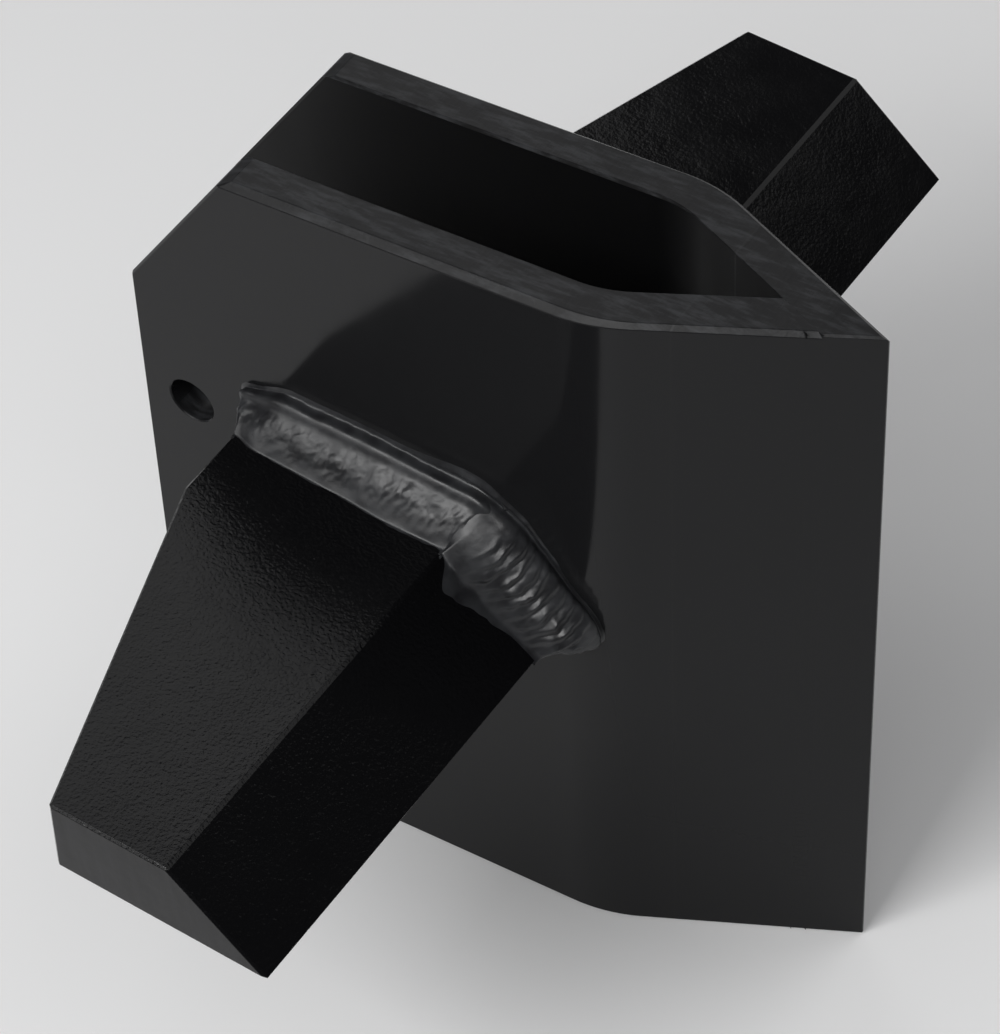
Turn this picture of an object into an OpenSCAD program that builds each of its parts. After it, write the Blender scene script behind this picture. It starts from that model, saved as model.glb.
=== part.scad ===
// Weld-on winged boot for a ripper or subsoiler shank.
// Two bent plates make an open V-nosed pocket that slides over the shank.
// A bevelled wing bar is welded across each side, and a pin through the hole
// near the rear edge keeps the boot on the shank.
// +X points forward to the nose, +Z up, and the plates' lower edges lie on Z = 0.
// The origin is the middle of the body's length and width, on that plane.

/* [Body] */
// Height of the two side plates
body_h = 240; // [200:5:300]
// Width over the outside of the two plates
body_w = 58; // [50:1:64]
// Thickness of the side plates
plate_t = 12; // [8:1:16]
// Length of the straight side along the top edge, from the rear to the bend
side_l = 146; // [130:1:200]
// Length of the nose along the top edge, from the bend to the tip
nose_l = 67; // [60:1:100]
// How far the lower edge sits behind the upper edge
rake = 24; // [0:1:30]
// Outside radius of the bend in each plate
bend_r = 50; // [30:1:60]
// Length of the cut-off upper rear corner along the top edge
corner_x = 34; // [10:1:50]
// Height of the cut-off upper rear corner
corner_z = 48; // [10:1:60]

/* [Retaining pin] */
// Diameter of the pin hole through both plates
pin_d = 14; // [8:0.5:20]
// Height of the pin hole above the lower edge
pin_z = 150; // [110:1:165]
// Distance of the pin hole ahead of the rear edge
pin_setback = 16; // [13:1:20]

/* [Wings] */
// Distance of each wing tip from the middle of the body
wing_y = 163; // [120:1:220]
// Thickness of the wing bars
wing_t = 25; // [16:1:30]
// Width of each wing bar at the body
wing_root = 98; // [85:1:105]
// Width of each wing bar at its tip
wing_tip = 65; // [50:1:80]
// Length of wing bar that keeps its full width
wing_shoulder = 32; // [20:1:60]
// Width of the bevel along the front of each wing bar
wing_bevel = 29; // [15:1:40]
// Distance of the sharp front edge behind the top of the bend
wing_back = 21; // [15:1:30]
// Height of the sharp front edge above the lower edge of the body
wing_z = 122; // [110:1:140]
// Downward tilt of the wing bars towards the front
wing_pitch = 6.5; // [0:0.5:8]

/* [Welds] */
// Leg of the upper and front weld beads
bead_leg = 14; // [8:1:16]
// Leg of the bead under each wing bar
under_leg = 8; // [5:1:10]
// Gap at the root of the nose weld
root_gap = 1; // [0.5:0.5:2]
// Angle by which the cut of the right plate's end leans into the nose weld
groove_angle = 34; // [15:1:36]

/* [Hidden] */

$fn = 96;
past = 20;                  // how far a cutting tool runs past what it cuts

half_w = body_w / 2;

// Places along X on the top edge of the body
nose_x = (side_l + nose_l + rake) / 2;
bend_x = nose_x - nose_l;
rear_x = bend_x - side_l;
function rear_edge(z) = rear_x - rake * (1 - z / body_h);

// The body is a bent strip that leans forward by the rake, cut off level at both ends
lean = atan(rake / body_h);
strip_side = side_l * cos(lean);
strip_nose = nose_l * cos(lean);
strip_below = side_l * sin(lean) + past;
strip_h = body_h / cos(lean) + nose_l * sin(lean) + strip_below + past;

// Plan of the strip, with the corner of the right plate's outer faces at x = 0
nose_angle = atan(half_w / strip_nose);
bend_start = bend_r * tan(nose_angle / 2);
bend_steps = 16;
face_l = norm([strip_nose, half_w]);
tip_face = plate_t / sin(2 * nose_angle);
apex_at = face_l - plate_t / tan(nose_angle);
plate_end = apex_at - root_gap;
groove_end = plate_end + plate_t * tan(groove_angle);

// A point of the right nose face: d along it from the bend, t in from the outside
function on_nose(d, t) = [
    d * cos(nose_angle) - t * sin(nose_angle),
    d * sin(nose_angle) + t * cos(nose_angle) - half_w];

function opposite(p) = [p[0], -p[1]];

// Points of the bend at radius r, from the side (0) to the nose (1)
function bend(r, from, to) = [
    for (i = [0:bend_steps])
        let (turn = nose_angle * (from + (to - from) * i / bend_steps))
            [r * sin(turn) - bend_start, bend_r - half_w - r * cos(turn)]];

// Corners of a wing bar's root. x runs forward along the bar from its sharp front
// edge, z up through it, and each has the direction in which its weld bead spreads.
wing_span = wing_y - half_w;
bevel_angle = atan(wing_t / wing_bevel);
low_rear = [-wing_root, 0];
top_rear = [-wing_root, wing_t];
knee = [-wing_bevel, wing_t];
edge = [0, 0];
low_rear_spread = under_leg * [-1, -1];
top_rear_spread = bead_leg * [-0.65, 1];
knee_spread = bead_leg * [tan(bevel_angle / 2), 1];
edge_spread = bead_leg * [0.87, -0.25];

// A bead's cross-section is a fillet with a slightly rounded face
bead_steps = 6;
bead_crown = 0.12;

function bead_section(corner, spread, leg) = concat(
    [[corner[0], 0, corner[1]]],
    [for (i = [0:bead_steps])
        let (
            f = i / bead_steps,
            crown = bead_crown * sin(180 * f),
            out = (1 - f + crown) * spread)
            [corner[0] + out[0], -(f + crown) * leg, corner[1] + out[1]]]);

// Plan of a bent plate on the right side, with the corners of its front end
module plate_plan(front_end) {
    polygon(concat(
        [[-strip_side, -half_w]],
        bend(bend_r, 0, 1),
        front_end,
        bend(bend_r - plate_t, 1, 0),
        [[-strip_side, plate_t - half_w]]));
}

// Makes a plan into a leaning body of the full height
module leaning() {
    intersection() {
        translate([bend_x - rake, 0, 0])
            rotate([0, lean, 0])
                translate([0, 0, -strip_below])
                    linear_extrude(strip_h)
                        children();
        translate([-nose_x - past, -body_w, 0])
            cube([2 * (nose_x + past), 2 * body_w, body_h]);
    }
}

// Cutting tool for the upper rear corner of both plates
module rear_corner() {
    low = body_h - corner_z;
    rotate([90, 0, 0])
        linear_extrude(2 * body_w, center = true)
            polygon([
                [rear_x + corner_x, body_h],
                [rear_edge(low), low],
                [rear_edge(low) - past, low],
                [rear_x - past, body_h + past],
                [rear_x + corner_x, body_h + past]]);
}

module pin_hole() {
    translate([rear_edge(pin_z) + pin_setback, 0, pin_z])
        rotate([90, 0, 0])
            cylinder(h = 2 * body_w, d = pin_d, center = true);
}

// The left plate runs on to the tip of the nose, where it is cut flush with the right face
module left_side_plate() {
    tip = on_nose(face_l, 0);
    flush = opposite(on_nose(face_l - tip_face, 0));
    color([0.10, 0.10, 0.11])
        difference() {
            leaning()
                mirror([0, 1])
                    plate_plan([tip, flush]);
            rear_corner();
            pin_hole();
        }
}

// The right plate stops short of the left one, with a sloping cut for the weld
module right_side_plate() {
    color([0.10, 0.10, 0.11])
        difference() {
            leaning()
                plate_plan([on_nose(groove_end, 0), on_nose(plate_end, plate_t)]);
            rear_corner();
            pin_hole();
        }
}

// Groove weld that joins the two plates along the nose, ground flush
module nose_weld() {
    color([0.14, 0.14, 0.15])
        leaning()
            polygon([
                on_nose(plate_end, plate_t),
                on_nose(groove_end, 0),
                on_nose(face_l - tip_face, 0),
                on_nose(apex_at, plate_t)]);
}

// Places what is drawn in a wing bar's own frame on the right side of the body
module on_right() {
    translate([bend_x - wing_back, -half_w, wing_z])
        rotate([0, wing_pitch, 0])
            children();
}

module on_left() {
    mirror([0, 1, 0])
        on_right()
            children();
}

// Flat bar, bevelled to a sharp lower front edge, its rear cut back towards the tip
module wing_bar() {
    color([0.08, 0.08, 0.09])
        difference() {
            rotate([90, 0, 0])
                linear_extrude(wing_span)
                    polygon([edge, knee, top_rear, low_rear]);
            translate([0, 0, -past])
                linear_extrude(wing_t + 2 * past)
                    polygon([
                        [-wing_root, -wing_shoulder],
                        [-wing_tip, -wing_span],
                        [-wing_tip, -wing_span - past],
                        [-wing_root - past, -wing_span - past],
                        [-wing_root - past, -wing_shoulder]]);
        }
}

// Weld bead between two corners of a bar's root, whose ends are cut to meet the next bead
module wing_bead(corner_a, spread_a, leg_a, corner_b, spread_b, leg_b) {
    n = bead_steps + 2;
    color([0.22, 0.22, 0.23])
        polyhedron(
            points = concat(
                bead_section(corner_a, spread_a, leg_a),
                bead_section(corner_b, spread_b, leg_b)),
            faces = concat(
                [for (i = [1:n - 2]) [0, i, i + 1]],
                [for (i = [1:n - 2]) [n, n + i + 1, n + i]],
                [for (i = [0:n - 1]) [i, n + i, (i + 1) % n]],
                [for (i = [0:n - 1]) [n + i, n + (i + 1) % n, (i + 1) % n]]));
}

module wing_top_bead() {
    wing_bead(top_rear, top_rear_spread, bead_leg, knee, knee_spread, bead_leg);
}

module wing_front_bead() {
    wing_bead(knee, knee_spread, bead_leg, edge, edge_spread, bead_leg);
}

module wing_under_bead() {
    wing_bead(edge, edge_spread, bead_leg, low_rear, low_rear_spread, under_leg);
}

module wing_rear_bead() {
    wing_bead(low_rear, low_rear_spread, under_leg, top_rear, top_rear_spread, bead_leg);
}

module left_wing() on_left() wing_bar();
module left_wing_top_weld() on_left() wing_top_bead();
module left_wing_front_weld() on_left() wing_front_bead();
module left_wing_under_weld() on_left() wing_under_bead();
module left_wing_rear_weld() on_left() wing_rear_bead();
module right_wing() on_right() wing_bar();
module right_wing_top_weld() on_right() wing_top_bead();
module right_wing_front_weld() on_right() wing_front_bead();
module right_wing_under_weld() on_right() wing_under_bead();
module right_wing_rear_weld() on_right() wing_rear_bead();

left_side_plate();
right_side_plate();
nose_weld();
left_wing();
right_wing();
left_wing_top_weld();
left_wing_front_weld();
left_wing_under_weld();
left_wing_rear_weld();
right_wing_top_weld();
right_wing_front_weld();
right_wing_under_weld();
right_wing_rear_weld();
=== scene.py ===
"""Looks of the winged shank boot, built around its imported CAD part.

The plates, the nose weld and the wing bars are the CAD nodes with bevelled
arrises and gloss black paint. Each CAD weld bead is replaced by a rippled
one that follows the same corner between a wing bar and a plate. Metres, +X
to the nose, -Y to the right, +Z up.
"""

import math

import bpy
import numpy as np
from mathutils import Matrix, Vector, noise
from mathutils.bvhtree import BVHTree


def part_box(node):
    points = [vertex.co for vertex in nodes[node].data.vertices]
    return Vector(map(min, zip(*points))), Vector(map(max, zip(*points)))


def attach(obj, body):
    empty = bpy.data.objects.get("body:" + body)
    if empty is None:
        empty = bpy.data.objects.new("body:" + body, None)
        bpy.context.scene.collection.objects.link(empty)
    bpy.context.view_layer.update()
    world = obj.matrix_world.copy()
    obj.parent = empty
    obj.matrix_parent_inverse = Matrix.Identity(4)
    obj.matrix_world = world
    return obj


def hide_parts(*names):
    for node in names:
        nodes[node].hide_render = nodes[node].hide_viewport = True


MM = 0.001
PLATES = ("left_side_plate", "right_side_plate")
WINGS = ("left_wing", "right_wing")

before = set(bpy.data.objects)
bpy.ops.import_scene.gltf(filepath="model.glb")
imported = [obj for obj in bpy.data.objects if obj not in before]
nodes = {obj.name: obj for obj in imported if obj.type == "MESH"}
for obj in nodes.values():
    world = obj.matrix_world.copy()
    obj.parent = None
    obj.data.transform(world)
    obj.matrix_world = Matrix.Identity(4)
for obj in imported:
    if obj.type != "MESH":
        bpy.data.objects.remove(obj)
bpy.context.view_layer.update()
body_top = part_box("left_side_plate")[1].z
body_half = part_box("left_side_plate")[1].y


# ---------------------------------------------------------------- node helpers

class Shader:
    """Builds one material's node tree with short calls."""

    def __init__(self, name):
        self.material = bpy.data.materials.new(name)
        self.material.use_nodes = True
        self.tree = self.material.node_tree
        self.surface = self.tree.nodes["Principled BSDF"]
        self.coords = self.tree.nodes.new("ShaderNodeTexCoord")
        self.geometry = self.tree.nodes.new("ShaderNodeNewGeometry")

    def link(self, value, socket):
        """Joins a node's output to the socket, or sets the socket to a plain value."""
        if isinstance(value, bpy.types.NodeSocket):
            self.tree.links.new(value, socket)
        elif value is not None:
            socket.default_value = value

    def math(self, operation, a, b=None):
        node = self.tree.nodes.new("ShaderNodeMath")
        node.operation = operation
        for socket, value in zip(node.inputs, (a, b)):
            self.link(value, socket)
        return node.outputs[0]

    def ramp(self, value, low, high, out_low=0.0, out_high=1.0):
        """value from low to high smoothly becomes out_low to out_high."""
        node = self.tree.nodes.new("ShaderNodeMapRange")
        node.interpolation_type = "SMOOTHSTEP"
        ends = (value, low, high, out_low, out_high)
        for socket, given in zip(node.inputs, ends):
            self.link(given, socket)
        return node.outputs[0]

    def place(self, stretch=(1, 1, 1), turn=(0, 0, 0)):
        """Position on the object, in metres, turned and then stretched."""
        node = self.tree.nodes.new("ShaderNodeMapping")
        node.vector_type = "POINT"
        self.link(self.coords.outputs["Object"], node.inputs["Vector"])
        node.inputs["Rotation"].default_value = turn
        node.inputs["Scale"].default_value = stretch
        return node.outputs[0]

    def added(self, value, mask, amount):
        """value, with amount added where mask is 1."""
        return self.math("ADD", value, self.math("MULTIPLY", mask, amount))

    def noise(self, place, scale, detail=2.0, roughness=0.5):
        """Soft noise from 0 to 1, with about `scale` bumps in a metre."""
        node = self.tree.nodes.new("ShaderNodeTexNoise")
        self.link(place, node.inputs["Vector"])
        node.inputs["Scale"].default_value = scale
        node.inputs["Detail"].default_value = detail
        node.inputs["Roughness"].default_value = roughness
        return node.outputs["Fac"]

    def split(self, vector):
        node = self.tree.nodes.new("ShaderNodeSeparateXYZ")
        self.link(vector, node.inputs[0])
        return node.outputs

    def blend(self, factor, a, b):
        node = self.tree.nodes.new("ShaderNodeMix")
        node.data_type = "RGBA"
        self.link(factor, node.inputs["Factor"])
        for socket, colour in zip(node.inputs[6:8], (a, b)):
            self.link(colour, socket)
        return node.outputs[2]

    def bump(self, height, depth, below=None):
        """Relief of `depth` metres where height goes from 0 to 1."""
        node = self.tree.nodes.new("ShaderNodeBump")
        node.inputs["Strength"].default_value = 1.0
        node.inputs["Distance"].default_value = depth
        self.link(height, node.inputs["Height"])
        self.link(below, node.inputs["Normal"])
        return node.outputs[0]

    def finish(self, colour, roughness, normal, ior):
        self.link(colour, self.surface.inputs["Base Color"])
        self.link(roughness, self.surface.inputs["Roughness"])
        self.link(normal, self.surface.inputs["Normal"])
        self.surface.inputs["IOR"].default_value = ior
        return self.material


# ------------------------------------------------------------------- materials

WING_BLACK = (0.0030, 0.0030, 0.0034, 1)
WING_SAWN = (0.007, 0.007, 0.008, 1)            # saw marks on a wing bar's end
PLATE_BLACK = (0.0085, 0.0086, 0.0092, 1)
PLATE_CUT = (0.024, 0.025, 0.027, 1)            # rubbed patches on the cut top edges
# painted shade: the plate's colour made darker inside the pocket, where little light reaches
POCKET_SHADE_BLACK = (0.0020, 0.0020, 0.0022, 1)
WELD_BLACK = (0.008, 0.008, 0.009, 1)
WELD_GREY = (0.022, 0.023, 0.025, 1)
WING_IOR = 1.26             # low values, for paint that mirrors little when seen head-on
PLATE_IOR = 1.235
WELD_IOR = 1.42
TOP_FACE = (0.45, 0.68)     # upward part of the normal where a top edge's look begins and is full
END_FACE = (0.93, 0.995)    # the same for the sideways part, at a wing bar's end
INWARD = -0.5 * MM          # normal.y * y is below this on faces that look into the pocket
GLOSS = (0.10, 0.15)        # roughness of the smooth paint
WING_GLOSS = (0.12, 0.18)
WELD_GLOSS = (0.30, 0.40)
TOP_DULL = 0.24             # roughness added on the top edges
POCKET_DULL = 0.34
END_DULL = 0.04
BRAKE_LINE = 45.6 * MM      # faint press mark down each nose face, behind its top end
BRAKE_LEAN = 0.1            # how far the mark leans, for each metre of height
BRAKE_HALF = 0.4 * MM       # half the width of its step
BRAKE_DEPTH = 0.06 * MM
PEEL_DEPTH = 0.13 * MM      # orange peel
LEFT_PEEL = 0.4             # share of that depth on the left wing
PEEL_CHANGE = 50 * MM       # it changes between this far to the right and as far to the left


def plate_paint():
    """Gloss black over smooth plate, with rubbed cut marks on the top edges, and a dull pocket
    darkened with painted shade.
    """
    s = Shader("gloss_black_plate")
    normal = s.split(s.geometry.outputs["Normal"])
    place = s.split(s.place())
    on_top = s.ramp(normal[2], *TOP_FACE)
    off_top = s.math("SUBTRACT", 1.0, on_top)
    inside = s.math("LESS_THAN", s.math("MULTIPLY", normal[1], place[1]), INWARD)
    sheet = s.noise(s.place(), 9.0)
    haze = s.noise(s.place((1, 1, 0.35)), 70.0, 4.0, 0.6)
    drag = s.noise(s.place((1, 1, 0.04)), 260.0, 3.0, 0.6)
    cut = s.noise(s.place((1, 0.16, 1)), 420.0, 4.0, 0.7)
    patches = s.noise(s.place((1, 5, 1)), 90.0, 4.0, 0.7)
    worn = s.math("MULTIPLY", on_top, s.ramp(patches, 0.42, 0.70))
    # faces inside the pocket take the darker colour, a painted shade for the recess between the
    # plates
    colour = s.blend(worn, s.blend(inside, PLATE_BLACK, POCKET_SHADE_BLACK), PLATE_CUT)
    rough = s.added(s.ramp(haze, 0.3, 0.7, *GLOSS), on_top, TOP_DULL)
    rough = s.added(rough, inside, POCKET_DULL)
    along = s.math("SUBTRACT", place[0], s.math("MULTIPLY", place[2], BRAKE_LEAN))
    past_line = s.ramp(along, BRAKE_LINE - BRAKE_HALF, BRAKE_LINE + BRAKE_HALF)
    pressed = s.bump(past_line, BRAKE_DEPTH)
    wave = s.bump(sheet, 0.10 * MM, pressed)
    fine = s.bump(s.math("MULTIPLY", drag, off_top), 0.006 * MM, wave)
    relief = s.bump(s.math("MULTIPLY", cut, on_top), 0.10 * MM, fine)
    return s.finish(colour, rough, relief, PLATE_IOR)


def wing_paint():
    """Thicker gloss black with orange peel, and a sawn, brushed end face."""
    s = Shader("gloss_black_wing")
    normal = s.split(s.geometry.outputs["Normal"])
    on_end = s.ramp(s.math("ABSOLUTE", normal[1]), *END_FACE)
    off_end = s.math("SUBTRACT", 1.0, on_end)
    peel = s.noise(s.place(), 980.0, 2.0, 0.55)
    sag = s.noise(s.place(), 120.0)
    saw = s.noise(s.place((1, 1, 0.03)), 520.0, 3.0, 0.6)
    haze = s.noise(s.place(), 60.0, 3.0, 0.6)
    colour = s.blend(s.math("MULTIPLY", on_end, s.ramp(saw, 0.35, 0.7)), WING_BLACK, WING_SAWN)
    rough = s.added(s.ramp(haze, 0.3, 0.7, *WING_GLOSS), on_end, END_DULL)
    thick = s.ramp(s.split(s.place())[1], -PEEL_CHANGE, PEEL_CHANGE, 1.0, LEFT_PEEL)
    peel = s.math("MULTIPLY", peel, thick)
    soft = s.bump(sag, 0.10 * MM)
    skin = s.bump(s.math("MULTIPLY", peel, off_end), PEEL_DEPTH, soft)
    relief = s.bump(s.math("MULTIPLY", saw, on_end), 0.02 * MM, skin)
    return s.finish(colour, rough, relief, WING_IOR)


def seam_paint():
    """Paint over the ground nose weld, with the grinder's marks still in it."""
    s = Shader("gloss_black_seam")
    normal = s.split(s.geometry.outputs["Normal"])
    on_top = s.ramp(normal[2], *TOP_FACE)
    grind = s.noise(s.place((1, 1, 7)), 90.0, 4.0, 0.6)
    patches = s.noise(s.place((1, 3, 1)), 80.0, 3.0, 0.65)
    worn = s.math("MULTIPLY", on_top, s.ramp(patches, 0.45, 0.75))
    colour = s.blend(worn, PLATE_BLACK, PLATE_CUT)
    rough = s.added(s.ramp(grind, 0.3, 0.7, *GLOSS), on_top, TOP_DULL)
    return s.finish(colour, rough, s.bump(grind, 0.02 * MM), PLATE_IOR)


def weld_paint():
    """Thin gloss paint over a steel bead, which shows through it as grey."""
    s = Shader("gloss_black_weld")
    mottle = s.noise(s.place(), 160.0, 3.0, 0.55)
    grain = s.noise(s.place(), 900.0, 3.0, 0.6)
    colour = s.blend(s.ramp(mottle, 0.25, 0.75), WELD_BLACK, WELD_GREY)
    rough = s.ramp(mottle, 0.3, 0.7, *WELD_GLOSS)
    return s.finish(colour, rough, s.bump(grain, 0.03 * MM), WELD_IOR)


# ------------------------------------------------------- CAD nodes, arris by arris

CORNER_ROUND = 3.0 * MM     # width of the bevel on the worn upper rear corners
TOP_ROUND = 2.2 * MM        # on the hand-ground outer arris along the top of the sides
NOSE_ROUND = 1.6 * MM       # on the same arris along the nose
HOLE_ROUND = 0.4 * MM       # round the pin hole
ARRIS_ROUND = 0.8 * MM      # everywhere else
FLUSH_ROUND = 0.01 * MM     # joints that are ground flush, or hidden under a bead
FLAT_PROFILE = 0.25         # a bevel's profile that makes a flat chamfer
FLAT_ANGLE = math.radians(12)       # edges that turn less than this stay as they are
LEVEL_ANGLE = math.radians(0.3)     # facets that turn less than this become one face
BEND_LENGTH = 20 * MM       # past a side's flat end, TOP_ROUND becomes NOSE_ROUND over this length
FACET = 2 * MM              # the pin hole's rim is made of edges shorter than this
CLEAR = 1 * MM              # and which are this far from the top and the bottom
TOUCH = 0.01 * MM           # two places closer than this are the same
SEAM_TOUCH = 0.05 * MM      # a plate's corner closer than this to the nose weld's is on the seam
MERGE = 0.002 * MM          # the split faces' points are joined when closer than this
SIDEWAYS = 0.3              # a normal with this much of y looks out to a side
FORWARD = 0.2               # and with this much of x, to the front
WEIGHT = "bevel_weight_edge"


def rounded(point):
    """A point to the nearest micrometre, to look it up by."""
    return tuple(round(c, 6) for c in point)


def edge_table(mesh):
    """Normals of the faces on each edge, by its two points, for a mesh of split faces."""
    found = {}
    for polygon in mesh.polygons:
        loop = [rounded(mesh.vertices[i].co) for i in polygon.vertices]
        for a, b in zip(loop, loop[1:] + loop[:1]):
            found.setdefault(frozenset((a, b)), []).append(polygon.normal.copy())
    return found


def round_arrises(node, width_of):
    """Bevels a CAD node's sharp edges with modifiers; width_of(a, b, normals) is each width."""
    mesh = node.data
    normals = edge_table(mesh)
    weights = mesh.attributes.new(WEIGHT, "FLOAT", "EDGE")
    for edge in mesh.edges:
        a, b = (mesh.vertices[i].co for i in edge.vertices)
        sides = normals.get(frozenset((rounded(a), rounded(b))), [])
        if len(sides) == 2 and sides[0].angle(sides[1]) > FLAT_ANGLE:
            weights.data[edge.index].value = width_of(a, b, sides) / CORNER_ROUND
    for polygon in mesh.polygons:
        polygon.use_smooth = True
    weld = node.modifiers.new("join", "WELD")
    weld.merge_threshold = MERGE
    flatten = node.modifiers.new("flatten", "DECIMATE")
    flatten.decimate_type = "DISSOLVE"
    flatten.angle_limit = LEVEL_ANGLE
    bevel = node.modifiers.new("arrises", "BEVEL")
    bevel.limit_method = "WEIGHT"
    bevel.width = CORNER_ROUND
    bevel.segments = 6
    bevel.profile = FLAT_PROFILE
    bevel.use_clamp_overlap = False
    bevel.loop_slide = False
    bevel.miter_outer = "MITER_ARC"
    shade = node.modifiers.new("shade", "WEIGHTED_NORMAL")
    shade.weight = 100


seam_points = {tuple(v.co) for v in nodes["nose_weld"].data.vertices}
seam_end = max(p[0] for p in seam_points) - SEAM_TOUCH
side_end = max(v.co.x for v in nodes["right_side_plate"].data.vertices
               if v.co.z > body_top - TOUCH and v.co.y < TOUCH - body_half)


def on_seam(point):
    return any((point - Vector(p)).length < SEAM_TOUCH for p in seam_points)


def plate_arris(a, b, sides):
    """Ground back outside along the top, flush at the nose weld, and lightly broken elsewhere."""
    on_top = min(a.z, b.z) > body_top - TOUCH
    outside = any(abs(n.y) > SIDEWAYS and n.y * (a.y + b.y) > 0 for n in sides)
    level = abs(a.z - b.z) < TOUCH
    at_seam = on_seam(a) or on_seam(b)
    if on_seam(a) and on_seam(b) or at_seam and not (level and outside):
        return FLUSH_ROUND
    if on_top and abs(a.x - b.x) < TOUCH and a.x < 0:
        return CORNER_ROUND
    if (a - b).length < FACET and CLEAR < a.z < body_top - CLEAR:
        return HOLE_ROUND
    past_side = min(max(((a.x + b.x) / 2 - side_end) / BEND_LENGTH, 0), 1)
    if on_top and not outside:
        return ARRIS_ROUND + (FLUSH_ROUND - ARRIS_ROUND) * past_side
    if not on_top or min(a.x, b.x) > seam_end and a.y + b.y < 0:
        return ARRIS_ROUND
    return TOP_ROUND + (NOSE_ROUND - TOP_ROUND) * past_side


def wing_arris(a, b, sides):
    """Broken all round, but not where the beads cover the bar's root."""
    at_root = max(abs(a.y), abs(b.y)) < body_half + TOUCH
    return FLUSH_ROUND if at_root else ARRIS_ROUND


def seam_arris(a, b, sides):
    """Flush against the plates, and like their arrises at the outer top and bottom."""
    level = abs(a.z - b.z) < TOUCH
    outside = any(n.y < -SIDEWAYS and n.x > FORWARD for n in sides)
    if not (level and outside):
        return FLUSH_ROUND
    return NOSE_ROUND if a.z > body_top / 2 else ARRIS_ROUND


# ------------------------------------------------------------------ weld beads

FAN_RADIUS = 9 * MM         # radius at which distance round a corner is measured
ROW_STEP = 0.42 * MM
BULGE_COLUMNS = 44          # points across a bead's rounded face
SKIRT_COLUMNS = 9           # points across the thin edge and hidden skirt, on each side of it
SEAT = 0.05 * MM            # how far a bead's thin edge runs out under the metal
SUNK = 0.30 * MM            # how far its hidden skirt lies under the metal
CORE_DEPTH = 1 * MM         # how far its hidden inner corner lies inside the plate
APART = 1 * MM              # the corners of a wing bar's root are farther apart than this
HUG_HEIGHT = 10 * MM        # at this height over the plate, a bead no longer follows its bend

# These are in millimetres, or are shares of a width.
BEAD_WIDTH = 18             # rough width of a bead's face, for noise across it
STEEP = 0.25                # share of a ripple's pitch that its steep side takes
RIPPLE_FADE = 6             # length over which ripples begin
FRACTAL = (0.9, 2.0, 2)     # falloff, spacing and number of the noise's octaves
SHELF_AT = 0.17             # middle of the shelf, across
SHELF_WIDTH = 0.09
EDGE_FADE = 0.08            # share of a bead's face, at each toe, over which ripples fade out
BLOB_WIDTH = 0.24           # width of a lump, across
UNDERCUT_WIDTH = 0.06
LUMPS = 0.35                # height of the bead's slow unevenness
FLARE_REACH = 1.8           # the thin edge on the plate ends this far from the toe
LIP_PEAK = 0.3              # share of the lip's width where it is highest
LIP_LEAST = 0.3             # least width of a lip
LIP_SKIRT = 0.8             # how far the hidden skirt runs on past the lip
FILM_SKIRT = 0.5            # and past the film
SOFTEN = 0.12               # width of the blend between a thin edge and the hidden skirt


class RootLoop:
    """The line where a wing bar meets its plate: straight edges, and a fan at each corner.

    Distance along it grows by each edge's length and by FAN_RADIUS * angle at each corner.
    """

    def __init__(self, corners):
        names = list(corners)
        middle = sum(corners.values(), Vector((0, 0))) / len(names)
        normals = []
        for a, b in zip(names, names[1:] + names[:1]):
            along = corners[b] - corners[a]
            out = Vector((along.y, -along.x)).normalized()
            normals.append(out if out.dot(corners[a] - middle) > 0 else -out)
        self.parts, self.fan_start, self.fan_end = [], {}, {}
        at = 0.0
        for i, name in enumerate(names):
            before, after = normals[i - 1], normals[i]
            turn = before.angle(after)
            self.fan_start[name] = at
            self.parts.append((at, turn * FAN_RADIUS, corners[name], corners[name], before, after))
            at += turn * FAN_RADIUS
            self.fan_end[name] = at
            after_corner = corners[names[(i + 1) % len(names)]]
            run = (after_corner - corners[name]).length
            self.parts.append((at, run, corners[name], after_corner, after, after))
            at += run
        self.length = at

    def at(self, distance):
        """Root point and outward direction, in the plane of the plate."""
        distance %= self.length
        start, run, a, b, before, after = [p for p in self.parts if p[0] <= distance + 1e-9][-1]
        share = min((distance - start) / run, 1.0)
        if a == b:
            turn = before.angle_signed(after) * share
            return a, before @ Matrix.Rotation(turn, 2)
        return a.lerp(b, share), after


def root_corners(wing):
    """Corners of a wing bar where it meets its plate, as (x, z), in order round the bar."""
    points = [v.co for v in nodes[wing].data.vertices]
    inner = min(abs(p.y) for p in points)
    plan = [Vector((p.x, p.z)) for p in points if abs(p.y) < inner + TOUCH]
    found = {
        "low_rear": min(plan, key=lambda p: p.x),
        "top_rear": max(plan, key=lambda p: p.y),
        "edge": max(plan, key=lambda p: p.x)}
    rest = [p for p in plan if all((p - q).length > APART for q in found.values())]
    return {"low_rear": found["low_rear"], "top_rear": found["top_rear"],
            "knee": rest[0], "edge": found["edge"]}


def spread(x, places, values):
    """Smooth value at each x between given values at places."""
    places, values = np.asarray(places, float), np.asarray(values, float)
    i = np.clip(np.searchsorted(places, x) - 1, 0, len(places) - 2)
    t = np.clip((x - places[i]) / (places[i + 1] - places[i]), 0, 1)
    t = t * t * (3 - 2 * t)
    return values[i] * (1 - t) + values[i + 1] * t


def smooth_max(a, b, width):
    return (a + b + np.sqrt((a - b) ** 2 + width ** 2)) / 2


def rough(x, y, scale, seed):
    """Noise from about -1 to 1 over two grids of millimetres."""
    out = np.zeros(x.shape)
    for i, (a, b) in enumerate(zip(x.ravel(), y.ravel())):
        out.flat[i] = noise.fractal(Vector((a / scale, b / scale, seed)), *FRACTAL)
    return out


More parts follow.
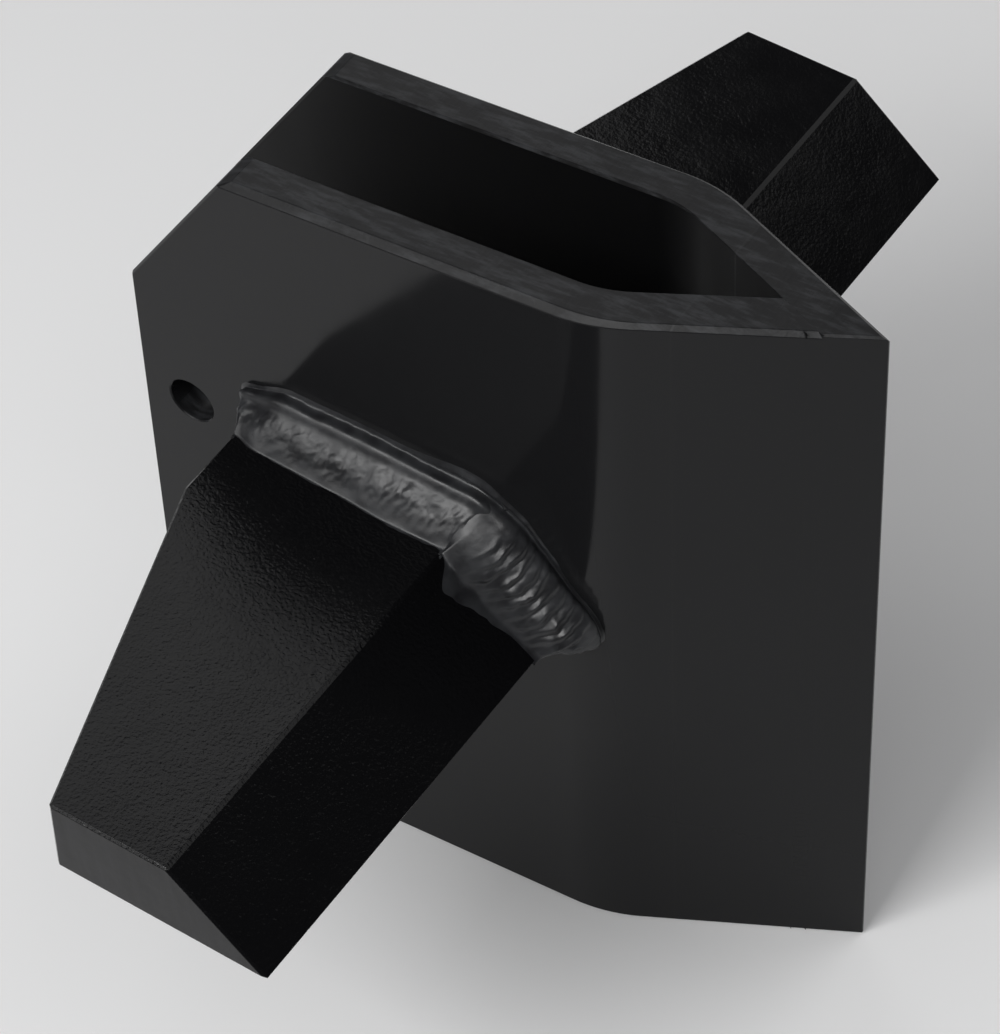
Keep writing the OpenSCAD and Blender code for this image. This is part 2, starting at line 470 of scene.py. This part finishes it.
def ripples(x, share, run, seed):
    """Height of a bead's ripples and blotches at x along it and share across it."""
    across = share * BEAD_WIDTH
    off_crest = share - run["crest"]
    wander = rough(x, across, 5.0, seed) * run["wander"]
    bow = run["bow"] * off_crest ** 2 + run["slant"] * off_crest
    phase = (x + wander + bow) / run["pitch"]
    saw = phase - np.floor(phase)
    saw = saw if run["steep_first"] else 1 - saw
    step = np.where(saw < STEEP, saw / STEEP, (1 - saw) / (1 - STEEP))
    over = np.exp(-(off_crest / run["ripple_width"]) ** 2)
    vary = run["vary"]
    strength = np.clip(1 - vary / 3 + vary * rough(x, across, 4.0, seed + 9), 0.15, 1.8)
    strength = strength * np.clip((x - run["quiet"]) / RIPPLE_FADE, 0, 1)
    blotch = run["blotch"] * rough(x, across + x / 2, 2.4, seed + 7)
    return (run["ripple"] * step * strength + blotch) * over


def bulge(x, cap, run, seed):
    """u and w of a bead's rounded face, from its toe on the plate to its toe on the wing bar."""
    leg_u = spread(x, *run["plate_leg"]) * cap
    leg_w = spread(x, *run["wing_leg"]) * cap
    share = np.linspace(0, 1, BULGE_COLUMNS)[None, :]
    turn = share * math.pi / 2
    flat = leg_u * leg_w / (leg_w * np.cos(turn) + leg_u * np.sin(turn))
    full = leg_u * leg_w / np.hypot(leg_w * np.cos(turn), leg_u * np.sin(turn))
    radius = flat + (full - flat) * run["full"]
    radius += run["shelf"] * cap * np.exp(-((share - SHELF_AT) / SHELF_WIDTH) ** 2)
    xs, shares = np.broadcast_arrays(x, share)
    edge_fade = np.clip(np.minimum(share, 1 - share) / EDGE_FADE, 0, 1)
    radius += ripples(xs, shares, run, seed) * cap * edge_fade
    for at, across, height, length in run["blobs"]:
        radius += height * np.exp(-((xs - at) / length) ** 2 - ((shares - across) / BLOB_WIDTH) ** 2)
    radius += LUMPS * rough(xs, shares * BEAD_WIDTH, 9.0, seed + 3) * cap * edge_fade
    radius -= spread(x, *run["undercut"]) * cap * np.exp(-(share / UNDERCUT_WIDTH) ** 2)
    return radius * np.cos(turn), radius * np.sin(turn)


def bead_grid(length, run, seed):
    """Bead surface in metres: x along it, u (out along the plate) and w (out from the plate).

    The given length and everything inside are in millimetres.
    """
    rows = round(length / (ROW_STEP / MM)) + 1
    x = np.linspace(0, length, rows)[:, None]
    from_end = np.minimum(x / run["ends"][0], (length - x) / run["ends"][1])
    cap = np.sqrt(1 - (1 - np.clip(from_end, 0.003, 1)) ** 2)
    bulge_u, bulge_w = bulge(x, cap, run, seed)

    toe_u, toe_w = bulge_u[:, :1], bulge_w[:, -1:]
    reach = np.linspace(1, 0, SKIRT_COLUMNS + 1)[None, :-1]
    lip_reach = spread(x, *run["lip_width"]) + run["groove"]
    film_reach = spread(x, *run["film_length"])
    out_u = reach * (lip_reach + LIP_SKIRT)
    out_w = reach[:, ::-1] * (film_reach + FILM_SKIRT)
    u = np.hstack([toe_u + out_u, bulge_u, 0 * out_w - SUNK / MM])
    w = np.hstack([0 * out_u - SUNK / MM, bulge_w, toe_w + out_w])

    beyond_u, beyond_w = u - toe_u, w - toe_w
    scallop = 0.75 + 0.45 * rough(x, 0 * x, 3.2, seed + 5)
    flare = run["flare"] * scallop * np.clip(1 - beyond_u / FLARE_REACH, 0, 1.5) ** 2 * cap
    patchy = np.clip(0.7 + 0.8 * rough(x, 0 * x, 5.0, seed + 6), 0.1, 1.3)
    film_height = spread(x, *run["film_height"])
    film = film_height * patchy * np.clip(1 - beyond_w / film_reach, 0, 1.3) ** 2 * cap
    past_lip = (beyond_u - run["groove"]) / np.maximum(lip_reach - run["groove"], LIP_LEAST)
    rise = np.clip(past_lip / LIP_PEAK, 0, 1)
    fall = np.clip((1 - past_lip) / (1 - LIP_PEAK), 0, 1)
    lip = spread(x, *run["lip"]) * scallop * np.minimum(rise, fall) * cap
    w = smooth_max(w, flare + lip - SEAT / MM, SOFTEN)
    u = smooth_max(u, film - SEAT / MM, SOFTEN)
    u[:, :SKIRT_COLUMNS] = toe_u + out_u
    w[:, -SKIRT_COLUMNS:] = toe_w + out_w
    return x.ravel() * MM, u * MM, w * MM


def plate_surface(plate, side):
    """Function giving the outer surface of a plate, as y, at (x, z)."""
    mesh = nodes[plate].data
    tree = BVHTree.FromPolygons([v.co for v in mesh.vertices], [p.vertices for p in mesh.polygons])

    def at(x, z):
        """Where a ray from a metre out on the plate's side meets it."""
        hit = tree.ray_cast(Vector((x, side, z)), Vector((0, -side, 0)))[0]
        return hit.y if hit else side * body_half
    return at


def tube_faces(rows, wide):
    """Faces of a closed tube, made of rows of `wide` points each, with both ends capped."""
    faces = []
    for i in range(rows - 1):
        for j in range(wide):
            a, b = i * wide + j, i * wide + (j + 1) % wide
            faces.append((a, b, b + wide, a + wide))
    faces.append(tuple(range(wide - 1, -1, -1)))
    faces.append(tuple(range((rows - 1) * wide, rows * wide)))
    return faces


def make_bead(side_name, run_name, run, loop, surface, seed):
    """One rippled bead that takes the place of a plain CAD bead."""
    side = -1 if side_name == "right" else 1
    start, end = run["span"](loop)
    x, u, w = bead_grid((end - start) / MM, run, seed)
    rows, columns = u.shape
    verts = []
    for i in range(rows):
        root, out = loop.at(start + x[i])
        for j in range(columns):
            plan = root + out * float(u[i, j])
            hug = min(max(0.0, 1 - w[i, j] / HUG_HEIGHT), 1)
            y = side * (body_half + w[i, j])
            y += (surface(plan.x, plan.y) - side * body_half) * hug
            verts.append((plan.x, y, plan.y))
        verts.append((root.x, side * (body_half - CORE_DEPTH), root.y))
    faces = tube_faces(rows, columns + 1)
    if side > 0:
        faces = [f[::-1] for f in faces]
    mesh = bpy.data.meshes.new(f"{side_name}_wing_{run_name}_bead")
    mesh.from_pydata(verts, [], faces)
    mesh.polygons.foreach_set("use_smooth", [True] * len(mesh.polygons))
    mesh.update()
    piece = bpy.data.objects.new(mesh.name, mesh)
    bpy.context.scene.collection.objects.link(piece)
    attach(piece, "root")
    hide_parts(f"{side_name}_wing_{run_name}_weld")
    return piece


def even(value):
    """Places and values of something that stays the same along a run."""
    return ((0, 1), (value, value))


# Each run of bead, in millimetres apart from span. Where a value is a pair of rows, they are
# distances along the run and the values there. "Across" goes from 0 at the toe on the plate
# to 1 at the toe on the wing bar.
#   span                      start and end on the root loop, in metres
#   plate_leg, wing_leg       how far the bead reaches over the plate and out along the bar
#   full, shelf               0 for a flat face and 1 for a quarter ellipse; height of the shelf
#   pitch, ripple             spacing and height of the ripples
#   wander, bow, slant        how far the ripples stray, curve and lean
#   crest, ripple_width       middle and half width of the rippled band, across
#   steep_first               each ripple rises steeply and then falls slowly along the run
#   vary, quiet, blotch       unevenness of the ripples, where they begin, height of the blotches
#   flare, undercut           height of the thin edge, and depth of the groove, at the plate's toe
#   groove, lip, lip_width    gap, height and width of the raised lip outside that toe
#   film_height, film_length  thin film of weld metal beyond the toe on the wing bar
#   ends, blobs               lengths of the rounded ends; lumps as (distance, across, height, size)
PLAIN_RUN = {
    "full": 0.42, "shelf": 0.5, "pitch": 1.9, "ripple": 0.28, "wander": 1.2, "bow": 7.0,
    "slant": 0.0, "crest": 0.5, "ripple_width": 0.40, "steep_first": True, "flare": 0.5,
    "vary": 0.6, "quiet": -9.0, "blotch": 0.05,
    "groove": 0.3, "lip": even(0.0), "lip_width": even(0.8), "undercut": even(0.2),
    "film_height": even(0.35), "film_length": even(1.3), "ends": (5.0, 5.0), "blobs": ()}

RUNS = {
    "rear": dict(
        PLAIN_RUN,
        span=lambda loop: (loop.fan_start["low_rear"] + 4 * MM, loop.fan_start["top_rear"]),
        plate_leg=((0, 12, 26), (7.5, 7.5, 6.0)), wing_leg=((0, 12, 26), (7.5, 8.0, 7.0)),
        ripple=0.16),
    "under": dict(
        PLAIN_RUN,
        span=lambda loop: (loop.fan_end["edge"] + 1 * MM, loop.length + 7 * MM),
        plate_leg=((0, 12, 60), (10, 8.5, 8)), wing_leg=((0, 12, 60), (10, 8.5, 8))),
    "top": dict(
        PLAIN_RUN,
        span=lambda loop: (loop.fan_end["top_rear"] - 11 * MM, loop.fan_end["knee"] + 5 * MM),
        plate_leg=((0, 8, 24, 48, 66, 78, 96), (6.0, 8.0, 13.2, 13.8, 13.2, 13.4, 13.2)),
        wing_leg=((0, 11, 20, 44, 64, 78, 96), (9.0, 10.6, 12.4, 13.0, 14.0, 13.6, 13.2)),
        full=0.30, shelf=1.1, pitch=2.9, ripple=0.16, wander=2.2, slant=6.0, crest=0.60,
        ripple_width=0.26, vary=0.9, quiet=14.0, blotch=0.16,
        lip=((0, 54, 70, 80, 88, 96), (0.0, 0.1, 0.5, 1.6, 1.0, 0.2)),
        lip_width=((0, 54, 78, 96), (0.8, 1.0, 3.4, 1.2)), groove=0.5,
        film_height=((0, 50, 74, 96), (0.12, 0.12, 0.25, 0.25)),
        film_length=((0, 96), (1.0, 1.4)), ends=(9.0, 5.0),
        blobs=((60, 0.55, 0.35, 8.0), (30, 0.60, 0.35, 8.0))),
    "front": dict(
        PLAIN_RUN,
        span=lambda loop: (loop.fan_end["knee"] - 13 * MM, loop.fan_end["edge"] - 5 * MM),
        plate_leg=((0, 4, 21, 29, 47, 57, 71), (12.0, 12.4, 16.2, 15.6, 13.6, 11.6, 10.5)),
        wing_leg=((0, 4, 21, 29, 51, 61, 71), (12.0, 12.4, 16.4, 15.6, 14.4, 11.0, 9.0)),
        full=0.28, shelf=0.4, pitch=3.4, ripple=1.15, bow=16.0, ripple_width=0.34,
        steep_first=False, flare=0.35, vary=0.4, quiet=18.0,
        lip=((0, 11, 19, 31, 37), (0.3, 1.3, 0.9, 0.4, 0.0)),
        lip_width=((0, 13, 31, 41), (1.4, 2.4, 1.4, 0.8)), groove=0.9,
        undercut=((0, 17, 37, 51, 71), (0.4, 1.2, 1.8, 2.4, 1.6)),
        film_height=((0, 6, 13.5, 21, 30, 43), (0.15, 0.0, 0.05, 0.8, 0.6, 0.3)),
        film_length=((0, 13.5, 21, 30, 43), (1.0, 1.0, 8.0, 4.5, 1.2)), ends=(7.0, 11.0))}


def make_beads(material):
    """All four runs on both sides, each with its own seed for the noise."""
    for side_name, side in (("right", -1), ("left", 1)):
        loop = RootLoop(root_corners(f"{side_name}_wing"))
        surface = plate_surface(f"{side_name}_side_plate", side)
        for number, (run_name, run) in enumerate(RUNS.items()):
            seed = 11.3 * number + (40.7 if side > 0 else 0.0)
            bead = make_bead(side_name, run_name, run, loop, surface, seed)
            set_material(bead, material)


# -------------------------------------------------------- stage, light, camera

def set_material(piece, material):
    piece.data.materials.clear()
    piece.data.materials.append(material)


FLOOR_REACH = 6.0
FLOOR_LOW = (0.80, 0.80, 0.80, 1)
FLOOR_HIGH = (0.83, 0.83, 0.83, 1)
FLOOR_ROUGHNESS = 0.7
FLOOR_IOR = 1.3
STUDIO_GREY = (0.08, 0.08, 0.085, 1)
LIGHT_AIM = (0, 0, 0.12)

# Name, direction from the aim, distance, width and height in metres, and radiance.
LIGHTS = (
    ("rear_left_box", (-0.533, 0.359, 0.766), 1.6, (1.1, 1.0), 1.5),
    ("right_box", (-0.080, -0.689, 0.721), 1.5, (0.89, 0.455), 11.0),
    ("right_rear_box", (-0.485, -0.747, 0.454), 1.5, (0.7, 0.7), 3.0),
    ("left_fill", (0.35, 0.62, 0.70), 2.2, (1.6, 1.6), 1.2),
    ("front_fill", (0.55, -0.45, 0.70), 2.2, (1.6, 1.6), 1.2))
UNMIRRORED = "front_fill"   # lights the object, but no gloss shows it


def make_floor():
    shader = Shader("pale_floor")
    tone = shader.noise(shader.place(), 3.0, 4.0, 0.6)
    colour = shader.blend(tone, FLOOR_LOW, FLOOR_HIGH)
    shader.finish(colour, FLOOR_ROUGHNESS, None, FLOOR_IOR)
    around = ((-1, -1), (1, -1), (1, 1), (-1, 1))
    mesh = bpy.data.meshes.new("floor")
    mesh.from_pydata([(FLOOR_REACH * a, FLOOR_REACH * b, 0) for a, b in around], [], [(0, 1, 2, 3)])
    floor = bpy.data.objects.new("floor", mesh)
    bpy.context.scene.collection.objects.link(floor)
    set_material(floor, shader.material)


def soft_light(name, direction, distance, size, radiance):
    """Rectangular area light that faces the aim and shows this radiance."""
    data = bpy.data.lights.new(name, "AREA")
    data.shape = "RECTANGLE"
    data.size, data.size_y = size
    data.energy = radiance * math.pi * size[0] * size[1]
    light = bpy.data.objects.new(name, data)
    bpy.context.scene.collection.objects.link(light)
    out = Vector(direction).normalized()
    light.location = Vector(LIGHT_AIM) + out * distance
    light.rotation_mode = "QUATERNION"
    light.rotation_quaternion = out.to_track_quat("Z", "Y")
    light.visible_camera = False
    light.visible_glossy = name != UNMIRRORED


def make_lights():
    for light in LIGHTS:
        soft_light(*light)
    world = bpy.data.worlds.new("studio")
    bpy.context.scene.world = world
    world.use_nodes = True
    world.node_tree.nodes["Background"].inputs[0].default_value = STUDIO_GREY


# Fitted to the photo's view: degrees, metres, and millimetres for the lens.
CAMERA_AZIMUTH = 40.88
CAMERA_ELEVATION = 45.65
CAMERA_ROLL = -9.47
CAMERA_DISTANCE = 1.2436
CAMERA_LENS = 162.3
CAMERA_SENSOR = 36.0
CAMERA_NEAR = 0.05
CAMERA_AIM = (-0.0077, -0.0047, 0.1214)


def make_camera():
    data = bpy.data.cameras.new("camera")
    data.lens = CAMERA_LENS
    data.sensor_width = CAMERA_SENSOR
    data.clip_start = CAMERA_NEAR
    camera = bpy.data.objects.new("camera", data)
    bpy.context.scene.collection.objects.link(camera)
    turn, rise = math.radians(CAMERA_AZIMUTH), math.radians(CAMERA_ELEVATION)
    back = Vector((math.sin(turn) * math.cos(rise), -math.cos(turn) * math.cos(rise), math.sin(rise)))
    camera.location = Vector(CAMERA_AIM) + CAMERA_DISTANCE * back
    level = (-back).to_track_quat("-Z", "Y")
    roll = Matrix.Rotation(math.radians(CAMERA_ROLL), 4, "Z")
    camera.matrix_world = Matrix.Translation(camera.location) @ level.to_matrix().to_4x4() @ roll
    bpy.context.scene.camera = camera


# ------------------------------------------------------------------------ build

plate_black = plate_paint()
wing_black = wing_paint()
for name in PLATES:
    set_material(nodes[name], plate_black)
    round_arrises(nodes[name], plate_arris)
for name in WINGS:
    set_material(nodes[name], wing_black)
    round_arrises(nodes[name], wing_arris)
set_material(nodes["nose_weld"], seam_paint())
round_arrises(nodes["nose_weld"], seam_arris)
make_beads(weld_paint())

make_floor()
make_lights()
make_camera()
bpy.context.scene.view_settings.view_transform = "Standard"
